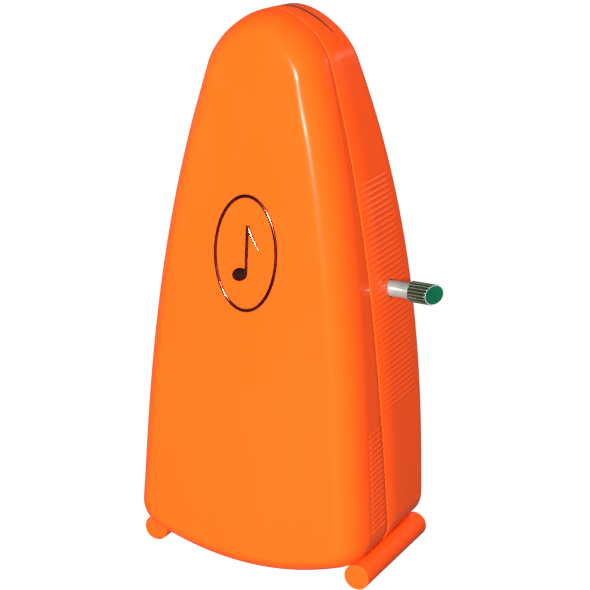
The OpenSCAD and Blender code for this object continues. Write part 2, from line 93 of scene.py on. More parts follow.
class Nodes:
    """A material's node tree with short ways to add and join nodes."""

    def __init__(self, name):
        self.material = bpy.data.materials.new(name)
        self.material.use_nodes = True
        self.tree = self.material.node_tree
        self.shader = self.tree.nodes["Principled BSDF"]
        self.place = self.add("ShaderNodeTexCoord").outputs["Object"]

    def add(self, kind, inputs=(), **settings):
        node = self.tree.nodes.new(kind)
        for key, value in settings.items():
            setattr(node, key, value)
        for key, value in dict(inputs).items():
            if isinstance(value, bpy.types.NodeSocket):
                self.tree.links.new(value, node.inputs[key])
            else:
                node.inputs[key].default_value = value
        return node

    def put(self, socket, value):
        if isinstance(value, bpy.types.NodeSocket):
            self.tree.links.new(value, self.shader.inputs[socket])
        else:
            self.shader.inputs[socket].default_value = value

    def scaled(self, size):
        """Object coordinates multiplied by size along x, y and z."""
        return self.add("ShaderNodeMapping", {"Vector": self.place, "Scale": size}).outputs[0]

    def noise(self, scale, detail=3.0, rough=0.5, where=None):
        return self.add("ShaderNodeTexNoise", {"Vector": where or self.place, "Scale": scale,
                        "Detail": detail, "Roughness": rough}).outputs["Fac"]

    def span(self, value, low, high, to_low, to_high):
        return self.add("ShaderNodeMapRange", {"Value": value, "From Min": low, "From Max": high,
                        "To Min": to_low, "To Max": to_high}).outputs[0]

    def math(self, operation, a, b=0.0):
        return self.add("ShaderNodeMath", {0: a, 1: b}, operation=operation).outputs[0]

    def mix(self, amount, a, b):
        node = self.add("ShaderNodeMix", {"Factor": amount}, data_type="RGBA")
        for socket, colour in ((node.inputs[6], a), (node.inputs[7], b)):
            if isinstance(colour, bpy.types.NodeSocket):
                self.tree.links.new(colour, socket)
            else:
                socket.default_value = (*colour, 1)
        return node.outputs[2]

    def bump(self, height, distance, strength=1.0, normal=None):
        inputs = {"Height": height, "Distance": distance, "Strength": strength}
        if normal is not None:
            inputs["Normal"] = normal
        return self.add("ShaderNodeBump", inputs).outputs[0]

    def edges(self, low, high):
        """Near 1 on sharp outer edges and 0 elsewhere."""
        bent = self.add("ShaderNodeNewGeometry").outputs["Pointiness"]
        return self.span(bent, low, high, 0, 1)


def plain(nodes, **sockets):
    """Sets values that are the same all over on the shader's own sockets."""
    for name, value in sockets.items():
        nodes.put(name.replace("_", " "), value)


# ---------------------------------------------------------------- materials

def gloss_plastic(name, deep, light, rough, shine=0.11):
    """Moulded plastic: faint flow streaks, fine surface waviness, and rubbed edges."""
    n = Nodes(name)
    flow = n.noise(1, 3, 0.55, n.scaled((22, 22, 8)))
    speck = n.noise(900, 2, 0.6)
    rubbed = n.edges(0.62, 0.8)
    base = n.mix(n.span(flow, 0.3, 0.7, 0, 1), deep, light)
    bright = [min(1, c * 1.15 + 0.01) for c in light]
    n.put("Base Color", n.mix(n.math("MULTIPLY", rubbed, 0.35), base, bright))
    uneven = n.span(flow, 0.3, 0.7, rough - 0.03, rough + 0.04)
    n.put("Roughness", n.math("ADD", uneven, n.math("MULTIPLY", rubbed, 0.08)))
    wave = n.bump(n.noise(30, 2, 0.4), 0.00004, 0.3)
    n.put("Normal", n.bump(speck, 0.000006, 0.5, wave))
    plain(n, IOR=1.49, Specular_IOR_Level=shine)
    return n.material


def matt_plastic(name, dark, light, shine=0.5):
    """Moulded plastic with a fine grain and cloudy colour."""
    n = Nodes(name)
    grain = n.noise(1400, 3, 0.6)
    cloud = n.noise(30, 3, 0.5)
    n.put("Base Color", n.mix(n.span(cloud, 0.3, 0.7, 0, 1), dark, light))
    n.put("Roughness", n.span(grain, 0.3, 0.7, 0.5, 0.66))
    n.put("Normal", n.bump(grain, 0.00003, 0.6))
    plain(n, IOR=1.5, Specular_IOR_Level=shine)
    return n.material


def worn_metal(name, deep, light, rough, streak, stretch=(1, 1, 1), bump=0.000004, metallic=0.75):
    """Metal with drawn or turned streaks, cloudy tarnish and brighter edges."""
    n = Nodes(name)
    lines = n.noise(1, 4, 0.6, n.scaled([streak * s for s in stretch]))
    cloud = n.noise(120, 4, 0.6)
    worn = n.edges(0.53, 0.66)
    base = n.mix(n.span(cloud, 0.3, 0.7, 0, 1), deep, light)
    bright = [min(1, c * 1.2 + 0.03) for c in light]
    n.put("Base Color", n.mix(n.math("MULTIPLY", worn, 0.6), base, bright))
    uneven = n.span(lines, 0.25, 0.75, rough * 0.75, rough * 1.3)
    n.put("Roughness", n.math("SUBTRACT", uneven, n.math("MULTIPLY", worn, rough * 0.3)))
    n.put("Normal", n.bump(lines, bump, 0.6))
    plain(n, Metallic=metallic)
    return n.material


def cast_iron(name):
    """Pitted grey casting."""
    n = Nodes(name)
    pits = n.noise(800, 5, 0.65)
    cloud = n.noise(90, 4, 0.6)
    n.put("Base Color", n.mix(n.span(cloud, 0.35, 0.65, 0, 1),
                              (0.05, 0.05, 0.055), (0.12, 0.12, 0.125)))
    n.put("Roughness", n.span(pits, 0.3, 0.7, 0.42, 0.62))
    n.put("Normal", n.bump(pits, 0.00006, 0.8))
    plain(n, Metallic=0.75)
    return n.material


def enamel(name, deep, light):
    """Satin stoved paint, darker where its edges are worn."""
    n = Nodes(name)
    cloud = n.noise(60, 4, 0.6)
    worn = n.edges(0.54, 0.64)
    base = n.mix(n.span(cloud, 0.3, 0.7, 0, 1), deep, light)
    n.put("Base Color", n.mix(worn, base, [c * 0.6 for c in deep]))
    n.put("Roughness", n.span(n.noise(500, 3), 0.3, 0.7, 0.3, 0.42))
    n.put("Normal", n.bump(n.noise(220, 3), 0.00002, 0.4))
    plain(n, Coat_Weight=0.3, Coat_Roughness=0.15)
    return n.material


def printed_ink(name):
    """Black printing ink with an uneven film."""
    n = Nodes(name)
    n.put("Base Color", n.mix(n.noise(400, 3), (0.012, 0.012, 0.014), (0.03, 0.03, 0.032)))
    n.put("Roughness", n.span(n.noise(900, 2), 0.3, 0.7, 0.45, 0.6))
    n.put("Normal", n.bump(n.noise(1500, 2), 0.000004, 0.5))
    return n.material


ORANGE_DEEP = (0.90, 0.076, 0.006)
ORANGE_LIGHT = (0.93, 0.084, 0.007)
FOOT_DEEP = (0.88, 0.070, 0.006)
FOOT_LIGHT = (0.92, 0.080, 0.007)

orange = gloss_plastic("orange_plastic", ORANGE_DEEP, ORANGE_LIGHT, 0.23)
foot_orange = gloss_plastic("foot_plastic", FOOT_DEEP, FOOT_LIGHT, 0.34)
panel_black = matt_plastic("panel_black", (0.018, 0.018, 0.02), (0.032, 0.032, 0.034))
# Near-black brown for the walls of the crown slot and the key hole: painted shade in these recesses.
slot_painted_shade = matt_plastic("slot_painted_shade", (0.05, 0.014, 0.003), (0.08, 0.024, 0.006), 0.05)

brass = worn_metal("brass", (0.52, 0.34, 0.11), (0.68, 0.47, 0.17), 0.26, 700, (1, 1, 6))
brass_wheel = worn_metal("brass_wheel", (0.58, 0.38, 0.12), (0.74, 0.52, 0.20), 0.20, 900, (6, 1, 1))
steel = worn_metal("steel", (0.42, 0.42, 0.44), (0.58, 0.58, 0.60), 0.24, 900, (1, 6, 1))
blued = worn_metal("blued_steel", (0.05, 0.07, 0.14), (0.12, 0.15, 0.24), 0.26, 600, (1, 6, 6))
foil = worn_metal("badge_foil", (0.07, 0.02, 0.012), (0.42, 0.13, 0.09), 0.16, 600,
                  bump=0.000003, metallic=1.0)

PLATED_BUMP = 0.0000015
shank_nickel = worn_metal("shank_nickel", (0.17, 0.27, 0.25), (0.36, 0.48, 0.46), 0.24, 500,
                          (0.2, 4, 4), PLATED_BUMP, 0.55)
# Dark olive copy of the plating for the grip between the ridge tops: a painted dark reflection, and
# painted shade in the knurl valleys.
grip_painted_dark_reflection = worn_metal("grip_painted_dark_reflection", (0.012, 0.030, 0.014), (0.05, 0.085, 0.05), 0.16, 500,
                         (4, 1, 1), PLATED_BUMP, 0.75)
# Lighter copy of the plating for the knurl ridge tops: painted light where the ridges catch the lamp.
ridge_painted_light = worn_metal("ridge_painted_light", (0.06, 0.10, 0.075), (0.17, 0.23, 0.185), 0.2, 500,
                          (4, 1, 1), PLATED_BUMP, 0.6)
# Near-white copy of the plating for the thin ring at the edge of the end face: a painted highlight.
rim_painted_highlight = worn_metal("key_rim_painted_highlight", (0.6, 0.62, 0.6), (0.75, 0.77, 0.75), 0.2, 300,
                        bump=PLATED_BUMP, metallic=0.3)
# Green copy of the plating for the dished end face: a painted green reflection.
end_painted_reflection = worn_metal("key_end_painted_reflection", (0.001, 0.075, 0.032), (0.002, 0.12, 0.055), 0.2, 300,
                       bump=PLATED_BUMP, metallic=0.2)

iron = cast_iron("bob_iron")
scale_paint = enamel("scale_enamel", (0.66, 0.63, 0.53), (0.76, 0.73, 0.63))
ink = printed_ink("scale_ink")


# ---------------------------------------------------------------- case shells

CASE_H = 160.0
BASE_HALF_W = 36.95
SIDE_LEAN = 8.0
SIDE_CURVE = 16.2
SHOULDER_Z = 150.0
CORNER_Z = 9.2
BELLY_Z = 0.5
CORNER_CUT = 6.0
SHOULDER_CUT = 3.5
SPINE_LOW, SPINE_HIGH = 30.0, 130.0
WALL = 1.8
EDGE_INSET, EDGE_DEPTH = 6.9, 10.6
EDGE_STEPS, INNER_EDGE_STEPS, REAR_STEPS = 31, 9, 8
FACE_RINGS = (3, 1, 0.3)
SPLIT_GAP = 0.12
DRAFT, REAR_ROUND = 0.4, 2.1

RIB_PITCH = 1.6
RIB_H = 0.18
RIB_SAMPLES = 10
LOWER_RIBS = (15.3, 45.7)
UPPER_RIBS = (48.3, 113.9)
# Pairs of a share of the side wall's depth and the ribs' share of their height there.
RIB_FADE = ((0.25, 1), (0.5, 1), (0.7, 1), (0.8, 0.9), (0.85, 0.55), (0.885, 0.2), (0.92, 0))
COVER_RIBS = ((0.13, 0), (0.145, 0), (0.155, 0.92), (0.18, 1), (0.5, 1), (0.8, 1))
RIM_STEP = 0.18
RIM_ROUND = 0.2
INNER_CORNER = 0.6


def half_w(z):
    """Half the case's width at a height."""
    return BASE_HALF_W - SIDE_LEAN * z / CASE_H - SIDE_CURVE * (z / CASE_H) ** 3


def swell(z):
    """A bow over the case's height: 0 at the table and the crown, 1 half-way up."""
    return 4 * z * (CASE_H - z) / CASE_H ** 2


def front_at(z):
    """The y of the cover's front face; split_at is the parting line's and rear_at the back wall's."""
    return -24 + 0.062 * z - 2 * swell(z)


def split_at(z):
    return -0.35 - 0.016 * z - 2.1 * swell(z)


def rear_at(z):
    return 22.9 - 0.075 * z + 7.4 * swell(z)


def belly_point(x):
    return np.array([x, BELLY_Z + (CORNER_Z - BELLY_Z) * (x / half_w(CORNER_Z)) ** 2])


def crown_point(x):
    return np.array([x, CASE_H - (CASE_H - SHOULDER_Z) * (x / half_w(SHOULDER_Z)) ** 2])


def side_point(z):
    return np.array([half_w(z), z])


def bend(a, b, c, t):
    """A point of the rounded corner from a to c round b."""
    return a * (1 - t) ** 2 + b * 2 * t * (1 - t) + c * t * t


def side_heights(ribs):
    """Heights down the side: close together over the ribs, wider apart elsewhere."""
    low, high = CORNER_Z + CORNER_CUT, SHOULDER_Z - SHOULDER_CUT
    step = RIB_PITCH / RIB_SAMPLES
    inside = np.arange(ribs[0], ribs[1] + step / 2, step)
    below = np.linspace(low, ribs[0], max(2, int((ribs[0] - low) / 2) + 1), endpoint=False)
    above = np.linspace(high, ribs[1], int((high - ribs[1]) / 2) + 1, endpoint=False)[::-1]
    return np.concatenate([below, inside, above])


def case_loop(ribs):
    """The case's outline seen from the front, from the belly round the right side and back."""
    belly_end = belly_point(half_w(CORNER_Z) - CORNER_CUT)
    crown_end = crown_point(half_w(SHOULDER_Z) - SHOULDER_CUT)
    corner = (belly_end, side_point(CORNER_Z), side_point(CORNER_Z + CORNER_CUT))
    shoulder = (side_point(SHOULDER_Z - SHOULDER_CUT), side_point(SHOULDER_Z), crown_end)
    inner = np.linspace(0, 1, 26)[1:-1]
    points = [belly_point(x) for x in np.linspace(0, belly_end[0], 26)]
    points += [bend(*corner, t) for t in inner]
    points += [side_point(z) for z in side_heights(ribs)]
    points += [bend(*shoulder, t) for t in inner]
    points += [crown_point(x) for x in np.linspace(crown_end[0], 0, 22)]
    half = np.array(points)
    return np.vstack([half, (half * (-1, 1))[-2:0:-1]])


def inward(loop):
    """Unit vectors from each point of the outline towards the case's upright middle line."""
    to_spine = np.column_stack([np.zeros(len(loop)), np.clip(loop[:, 1], SPINE_LOW, SPINE_HIGH)]) - loop
    return to_spine / np.linalg.norm(to_spine, axis=1)[:, None]


def rib_height(z, ribs):
    """Narrow round-topped ribs, 0 outside the ribbed height."""
    phase = (z - ribs[0]) / RIB_PITCH
    count = round((ribs[1] - ribs[0]) / RIB_PITCH)
    wave = np.sin(math.pi * phase) ** 2
    return np.where((phase > 0) & (phase < count), RIB_H * wave ** 2.5, 0)


class Shell:
    """Collects rings around the case outline and joins them into one closed skin."""

    def __init__(self, ribs):
        self.ribs = ribs
        self.loop = case_loop(ribs)
        self.inward = inward(self.loop)
        on_side = np.abs(self.loop[:, 0]) > half_w(np.clip(self.loop[:, 1], 0, CASE_H)) - 0.01
        self.rib = np.where(on_side, rib_height(self.loop[:, 1], ribs), 0)
        self.rings = []

    def ring(self, inset, depth, ribbed=0.0):
        """One ring at an inset and a depth that depends on height, with a share of the ribs' height."""
        flat = self.loop + self.inward * (inset - self.rib * ribbed)[:, None]
        y = depth(flat[:, 1])
        self.rings.append(np.column_stack([flat[:, 0], y + np.zeros(len(flat)), flat[:, 1]]))

    def mesh(self, name):
        """The rings joined by quads, with the first and last closed by strips across the case."""
        count = len(self.loop)
        middle = count // 2
        verts = np.vstack(self.rings) * MM
        faces = []
        for k in range(len(self.rings) - 1):
            a, b = k * count, (k + 1) * count
            faces += [(a + i, a + (i + 1) % count, b + (i + 1) % count, b + i) for i in range(count)]
        for start, flip in ((0, False), ((len(self.rings) - 1) * count, True)):
            strip = [(start, start + count - 1, start + 1)]
            strip += [(start + i, start + count - i, start + count - i - 1, start + i + 1)
                      for i in range(1, middle - 1)]
            strip += [(start + middle - 1, start + middle + 1, start + middle)]
            faces += [f[::-1] for f in strip] if flip else strip
        return solid(name, verts, faces)


def solid(name, verts, faces):
    """A mesh with its faces turned outward."""
    mesh = bpy.data.meshes.new(name)
    mesh.from_pydata([tuple(v) for v in verts], [], faces)
    work = bmesh.new()
    work.from_mesh(mesh)
    bmesh.ops.recalc_face_normals(work, faces=work.faces)
    work.to_mesh(mesh)
    work.free()
    return mesh


def revolved(name, profile, centre, axis, steps=96, shaped=None):
    """A closed turned solid. The profile is (along, radius) pairs that start and end on the axis;
    shaped(ring, angle, along, radius) may move a point along the axis or off its radius."""
    order = {"x": (0, 1, 2), "y": (1, 2, 0), "z": (2, 0, 1)}[axis]
    verts, faces, rows = [], [], []
    for k, (along, radius) in enumerate(profile):
        row = []
        for i in range(steps if radius > 0 else 1):
            angle = TAU * i / steps
            place, reach = shaped(k, angle, along, radius) if shaped else (along, radius)
            point = [0, 0, 0]
            point[order[0]] = place
            point[order[1]] = centre[order[1]] + reach * math.cos(angle)
            point[order[2]] = centre[order[2]] + reach * math.sin(angle)
            row.append(len(verts))
            verts.append([c * MM for c in point])
        rows.append(row)
    for one, two in zip(rows, rows[1:]):
        for i in range(steps):
            j = (i + 1) % steps
            corners = [one[i % len(one)], one[j % len(one)], two[j % len(two)], two[i % len(two)]]
            faces.append(list(dict.fromkeys(corners)))
    return solid(name, verts, faces)


def lerp(a, b, t):
    return a + (b - a) * t


def cut(thing, cutters):
    """Cuts meshes out of a piece and keeps the result as its mesh."""
    for mesh in cutters:
        tool = bpy.data.objects.new("cutter", mesh)
        bpy.context.collection.objects.link(tool)
        change = thing.modifiers.new("cut", "BOOLEAN")
        change.object = tool
        change.solver = "EXACT"
        # Cut faces take the cutter's material; here that puts the painted shade on the walls of the slot
        # and the key hole.
        change.material_mode = "TRANSFER"
        shape = thing.evaluated_get(bpy.context.evaluated_depsgraph_get())
        result = bpy.data.meshes.new_from_object(shape)
        thing.modifiers.clear()
        result.name = thing.data.name
        thing.data = result
        bpy.data.objects.remove(tool)


def piece(name, mesh, material, body, nodes=()):
    """An object that rides on a body, stands for CAD nodes and takes a slot's finish."""
    thing = bpy.data.objects.new(name, mesh)
    bpy.context.collection.objects.link(thing)
    if material is not None:
        mesh.materials.append(material)
    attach(thing, body)
    if nodes:
        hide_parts(*nodes)
    return thing


def smooth(thing, angle=35):
    """Smooth shading with sharp edges past an angle in degrees."""
    mesh = thing.data
    mesh.polygons.foreach_set("use_smooth", [True] * len(mesh.polygons))
    mesh.set_sharp_from_angle(angle=math.radians(angle))


def front_cover():
    """The domed cover: front face, rounded edge, ribbed side wall, rim and inside."""
    def along(share):
        return lambda z: lerp(front_at(z) + EDGE_DEPTH, rim(z), share)

    def rim(z):
        return split_at(z) - SPLIT_GAP

    shell = Shell(LOWER_RIBS)
    for inner in FACE_RINGS:
        shell.ring(EDGE_INSET + inner, front_at)
    for t in np.radians(np.linspace(0, 90, EDGE_STEPS)):
        shell.ring(EDGE_INSET * (1 - math.sin(t)),
                   lambda z, t=t: front_at(z) + EDGE_DEPTH * (1 - math.cos(t)))
    for share, ribbed in COVER_RIBS:
        shell.ring(RIM_STEP * share, along(share), ribbed)
    shell.ring(RIM_STEP, lambda z: rim(z) - RIM_ROUND, 1)
    shell.ring(RIM_STEP + 0.3 * RIM_ROUND, lambda z: rim(z) - 0.3 * RIM_ROUND, 0.9)
    shell.ring(RIM_STEP + RIM_ROUND, rim, 0)
    shell.ring(WALL, rim)
    for t in np.radians(np.linspace(90, 0, INNER_EDGE_STEPS)):
        shell.ring(WALL + (EDGE_INSET - WALL) * (1 - math.sin(t)),
                   lambda z, t=t: front_at(z) + WALL + (EDGE_DEPTH - WALL) * (1 - math.cos(t)))
    cover = piece("front_cover_shell", shell.mesh("front_cover_shell"), orange, "cover",
                  ["front_cover"])
    smooth(cover)


def rear_housing():
    """The rear shell from its inside, over the rim and the ribbed side wall, to the back."""
    def rim(z):
        return split_at(z) + SPLIT_GAP

    def wall_end(z):
        return rear_at(z) - REAR_ROUND

    shell = Shell(UPPER_RIBS)
    shell.ring(WALL + DRAFT + INNER_CORNER, lambda z: rear_at(z) - WALL)
    shell.ring(WALL + DRAFT, lambda z: rear_at(z) - WALL - INNER_CORNER)
    shell.ring(WALL, rim)
    shell.ring(RIM_ROUND, rim, 0)
    shell.ring(0.3 * RIM_ROUND, lambda z: rim(z) + 0.02, 1)
    shell.ring(0, lambda z: rim(z) + RIM_ROUND, 1)
    for share, ribbed in RIB_FADE:
        shell.ring(DRAFT * share, lambda z, share=share: share * wall_end(z), ribbed)
    for t in np.radians(np.linspace(0, 90, REAR_STEPS)):
        shell.ring(DRAFT + REAR_ROUND * (1 - math.cos(t)),
                   lambda z, t=t: rear_at(z) + REAR_ROUND * (math.sin(t) - 1))
    housing = piece("rear_housing_shell", shell.mesh("rear_housing_shell"), orange, "case",
                    ["rear_housing"])
    cut(housing, [key_hole(), crown_slot()])
    smooth(housing)


KEY_Y, KEY_Z = 8.9, 82.1
KEY_HOLE_R = 2.6
SLOT_HALF, SLOT_MIDDLE, SLOT_BOW, SLOT_W, SLOT_DEPTH = 13.5, 3.4, 2.6, 1.6, 1.3


def key_hole():
    """Cutter for the key's hole; its faces give the hole's wall a near-black brown that is painted
    shade.
    """
    wall_x = half_w(KEY_Z)
    inside, outside = wall_x - 4, wall_x + 3
    profile = [(inside, 0), (inside, KEY_HOLE_R), (outside, KEY_HOLE_R), (outside, 0)]
    mesh = revolved("key_hole", profile, (0, KEY_Y, KEY_Z), "x", 64)
    # The hole's wall takes the painted shade.
    mesh.materials.append(slot_painted_shade)
    return mesh


def crown_slot():
    """Cutter for the narrow groove across the crown, bowed to the rear at its ends; its faces give the
    groove's walls a near-black brown that is painted shade.
    """
    across = np.linspace(-SLOT_HALF, SLOT_HALF, 41)
    middle = SLOT_MIDDLE + SLOT_BOW * (across / SLOT_HALF) ** 2
    half = SLOT_W / 2 * np.sqrt(np.clip(1 - (across / SLOT_HALF) ** 2, 0, 1))
    outline = list(zip(across, middle - half)) + list(zip(across[-2:0:-1], (middle + half)[-2:0:-1]))
    count = len(outline)
    verts = [[x * MM, y * MM, (crown_point(x)[1] - SLOT_DEPTH) * MM] for x, y in outline]
    verts += [[x * MM, y * MM, (CASE_H + 2) * MM] for x, y in outline]
    faces = [[i, (i + 1) % count, count + (i + 1) % count, count + i] for i in range(count)]
    faces.append(list(range(count, 2 * count)))
    end = count // 2
    faces += [[0, 1, count - 1], [end - 1, end, end + 1]]
    faces += [[i, i + 1, count - i - 1, count - i] for i in range(1, end - 1)]
    mesh = solid("crown_slot", verts, faces)
    # The groove's walls take the painted shade.
    mesh.materials.append(slot_painted_shade)
    return mesh


front_cover()
rear_housing()


# ---------------------------------------------------------------- bosses inside the housing

BOSS_R, BOSS_HOLE_R = 2.6, 0.85
PANEL_BACK = -2.1
PANEL_POSTS = ((24, 20), (12.5, 140))
POST_HOLE_DEPTH = 8
FOOT_X, FOOT_R, FLAT_CUT = 33.3, 3.8, 0.15
FOOT_Z = FOOT_R - FLAT_CUT
FOOT_FRONT, FOOT_REAR = -16.0, 24.2
FOOT_BOSS_X, FOOT_BOSSES, FOOT_BOSS_TOP = 30.3, (8, 18), 9.0


def housing_bosses():
    """The posts behind the front panel and the screw bosses over the foot rods."""
    for side, word in ((1, "right"), (-1, "left")):
        for x, z in PANEL_POSTS:
            back = rear_at(z) - WALL / 2
            profile = [(PANEL_BACK + POST_HOLE_DEPTH, 0), (PANEL_BACK + POST_HOLE_DEPTH, BOSS_HOLE_R),
                       (PANEL_BACK, BOSS_HOLE_R), (PANEL_BACK, BOSS_R - 0.2), (PANEL_BACK + 0.2, BOSS_R),
                       (back - 1, BOSS_R), (back, BOSS_R + 0.6), (back, 0)]
            name = f"panel_post_{word}_{z}"
            post = piece(name, revolved(name, profile, (side * x, 0, z), "y", 40), orange, "case")
            smooth(post)
        for y in FOOT_BOSSES:
            profile = [(FOOT_Z, 0), (FOOT_Z, BOSS_R), (FOOT_BOSS_TOP - 0.2, BOSS_R),
                       (FOOT_BOSS_TOP, BOSS_R - 0.2), (FOOT_BOSS_TOP, 0)]
            name = f"foot_boss_{word}_{y}"
            boss = piece(name, revolved(name, profile, (side * FOOT_BOSS_X, y, 0), "z", 40), orange,
                         "case")
            smooth(boss)


housing_bosses()


# ---------------------------------------------------------------- foot rods

FOOT_EDGE_R = 0.3


def foot_rod(side, word):
    """Moulded bar with softly rounded ends and a narrow flat where it stands."""
    arc = np.radians(np.linspace(0, 90, 7))
    front = [(FOOT_FRONT + FOOT_EDGE_R * (1 - math.sin(t)), FOOT_R - FOOT_EDGE_R * (1 - math.cos(t)))
             for t in arc[::-1]]
    rear = [(FOOT_REAR - (along - FOOT_FRONT), radius) for along, radius in front[::-1]]
    middle = [(lerp(FOOT_FRONT, FOOT_REAR, t), FOOT_R) for t in (0.25, 0.5, 0.75)]
    ends = [(FOOT_FRONT, 0), (FOOT_FRONT, FOOT_R * 0.6)]
    profile = ends + front + middle + rear + [(FOOT_REAR, FOOT_R * 0.6), (FOOT_REAR, 0)]
    name = f"foot_rod_{word}"
    mesh = revolved(name + "_bar", profile, (side * FOOT_X, 0, FOOT_Z), "y", 120)
    for vertex in mesh.vertices:
        vertex.co.z = max(vertex.co.z, 0.0)
    rod = piece(name + "_bar", mesh, foot_orange, "case", [name])
    smooth(rod, 40)


foot_rod(1, "right")
foot_rod(-1, "left")


# ---------------------------------------------------------------- winding key

KEY_SHANK_R, KEY_GRIP_R, KEY_BORE_R = 2.35, 3.05, 1.5
KEY_GRIP_X, KEY_END_X = 36.6, 43.8
KEY_END_TURN = math.radians(30)
KNURLS, KNURL_DEPTH, KNURL_STEPS = 18, 0.34, 10
# The grip slot holds the painted dark reflection and the ridge slot the painted light on the ridge tops.
GRIP_SLOT, RIDGE_SLOT = 1, 4  # places in the key's list of materials


def winding_key():
    """Plated key: smooth shank, grip with straight knurls, and a slanted dished end face, with painted
    light and shade in the colours of its grip, ridge tops, rim and end face.
    """
    wall_x = half_w(KEY_Z)
    bore_end, inner = wall_x + 2, wall_x - 8
    shank = [(bore_end, 0), (bore_end, KEY_BORE_R), (inner, KEY_BORE_R), (inner, KEY_SHANK_R - 0.2),
             (inner + 0.2, KEY_SHANK_R), (wall_x, KEY_SHANK_R), (KEY_GRIP_X, KEY_SHANK_R)]
    grip = [(KEY_GRIP_X, KEY_GRIP_R - 0.35), (KEY_GRIP_X + 0.15, KEY_GRIP_R - 0.05),
            (KEY_GRIP_X + 0.35, KEY_GRIP_R), (KEY_GRIP_X + 1.2, KEY_GRIP_R),
            (KEY_GRIP_X + 2.4, KEY_GRIP_R)]
    face = [(-2.0, KEY_GRIP_R), (-0.45, KEY_GRIP_R), (-0.12, KEY_GRIP_R - 0.08), (0, KEY_GRIP_R - 0.22),
            (0, KEY_GRIP_R - 0.34), (-0.14, KEY_GRIP_R - 0.5), (-0.18, KEY_GRIP_R * 0.5), (-0.2, 0)]
    first_grip, first_face = len(shank), len(shank) + len(grip)
    rim, end_face = first_face + 3, first_face + 4
    knurled = range(first_grip, rim)

    def shaped(k, angle, along, radius):
        ridge = KNURL_DEPTH * (0.5 - 0.5 * math.cos(KNURLS * angle)) ** 0.8
        reach = radius - (ridge if k in knurled else 0)
        if k >= first_face:
            along += KEY_END_X + reach * math.cos(angle) * math.tan(KEY_END_TURN)
        return along, reach

    steps = KNURLS * KNURL_STEPS
    profile = shank + grip + face
    mesh = revolved("winding_key_knob", profile, (0, KEY_Y, KEY_Z), "x", steps, shaped)
    key = piece("winding_key_knob", mesh, shank_nickel, "winder", ["winding_key"])
    # Lit and shaded copies of the plating: painted dark reflection on the grip, painted highlight on the
    # end's rim, painted green reflection on the end face, painted light on the ridge tops.
    for material in (grip_painted_dark_reflection, rim_painted_highlight, end_painted_reflection, ridge_painted_light):
        mesh.materials.append(material)
    for face_index, polygon in enumerate(mesh.polygons):
        row, step = divmod(face_index, steps)
        place = (row >= first_grip) + (row >= rim) + (row >= end_face)
        # Faces at the knurl ridge tops take the painted light; the rest of the grip takes the painted
        # dark reflection and shade.
        on_ridge = math.cos(TAU * (step + 0.5) / KNURL_STEPS) > 0.5
        polygon.material_index = RIDGE_SLOT if place == GRIP_SLOT and on_ridge else place
    smooth(key, 30)


winding_key()


# ---------------------------------------------------------------- badge

BADGE_Z = 95.3
BADGE_HALF = (9.45, 15.95)
BADGE_WIRE = (0.54, 0.4)
BADGE_SUNK = 0.05
NOTE_HEAD = (-1.6, -6.0)
HEAD_HALF, HEAD_TILT = (2.5, 1.9), math.radians(22)
NOTE_STEM = ((0.35, -5.8), (0.35, 8.0))
NOTE_FLAG = ((0.35, 8.0), (1.0, 5.4), (2.9, 3.6), (4.2, 1.6))


def on_front(x, z, lift):
    """A point over the cover's front face at a height above it."""
    return [x * MM, (front_at(z) - lift) * MM, z * MM]


def raised_line(name, points, closed, half_width, height):
    """A low rounded bead along points on the front face; a width factor may follow each point."""
    points = np.array(points, float)
    flat = points[:, :2]
    if closed:
        ahead, behind = np.roll(flat, -1, 0), np.roll(flat, 1, 0)
    else:
        ahead, behind = np.vstack([flat[1:], flat[-1:]]), np.vstack([flat[:1], flat[:-1]])
    along = ahead - behind
    along /= np.linalg.norm(along, axis=1)[:, None]
    across = np.column_stack([along[:, 1], -along[:, 0]])
    turns = np.radians(np.linspace(0, 180, 9))
    verts, faces = [], []
    for (x, z, wide), side in zip(points, across):
        for t in turns:
            shift = side * half_width * wide * math.cos(t)
            lift = -BADGE_SUNK + (height + BADGE_SUNK) * math.sin(t)
            verts.append(on_front(x + shift[0], BADGE_Z + z + shift[1], lift))
    rows, count = len(points), len(turns)
    for k in range(rows if closed else rows - 1):
        a, b = k * count, (k + 1) % rows * count
        faces += [[a + i, a + (i + 1) % count, b + (i + 1) % count, b + i] for i in range(count)]
    if not closed:
        faces += [list(range(count)), list(range((rows - 1) * count, rows * count))]
    return solid(name, verts, faces)


def note_head():
    """A tilted oval dome."""
    head_x, head_z = NOTE_HEAD[0], BADGE_Z + NOTE_HEAD[1]
    height, steps = BADGE_WIRE[1] * 1.15, 48
    levels = np.radians((18, 40, 62, 80, 90))
    turn = Matrix.Rotation(HEAD_TILT, 2)
    verts, faces = [on_front(head_x, head_z, height)], []
    for level in levels:
        lift = height * math.cos(level) - (BADGE_SUNK if level == levels[-1] else 0)
        for i in range(steps):
            a = TAU * i / steps
            point = Vector((HEAD_HALF[0] * math.cos(a), HEAD_HALF[1] * math.sin(a)))
            x, z = turn @ point * math.sin(level)
            verts.append(on_front(head_x + x, head_z + z, lift))
    for i in range(steps):
        j = (i + 1) % steps
        faces.append([0, 1 + i, 1 + j])
        for k in range(len(levels) - 1):
            a, b = 1 + k * steps, 1 + (k + 1) * steps
            faces.append([a + i, a + j, b + j, b + i])
    base = 1 + (len(levels) - 1) * steps
    faces.append([base + i for i in range(steps)])
    return solid("badge_note_head", verts, faces)


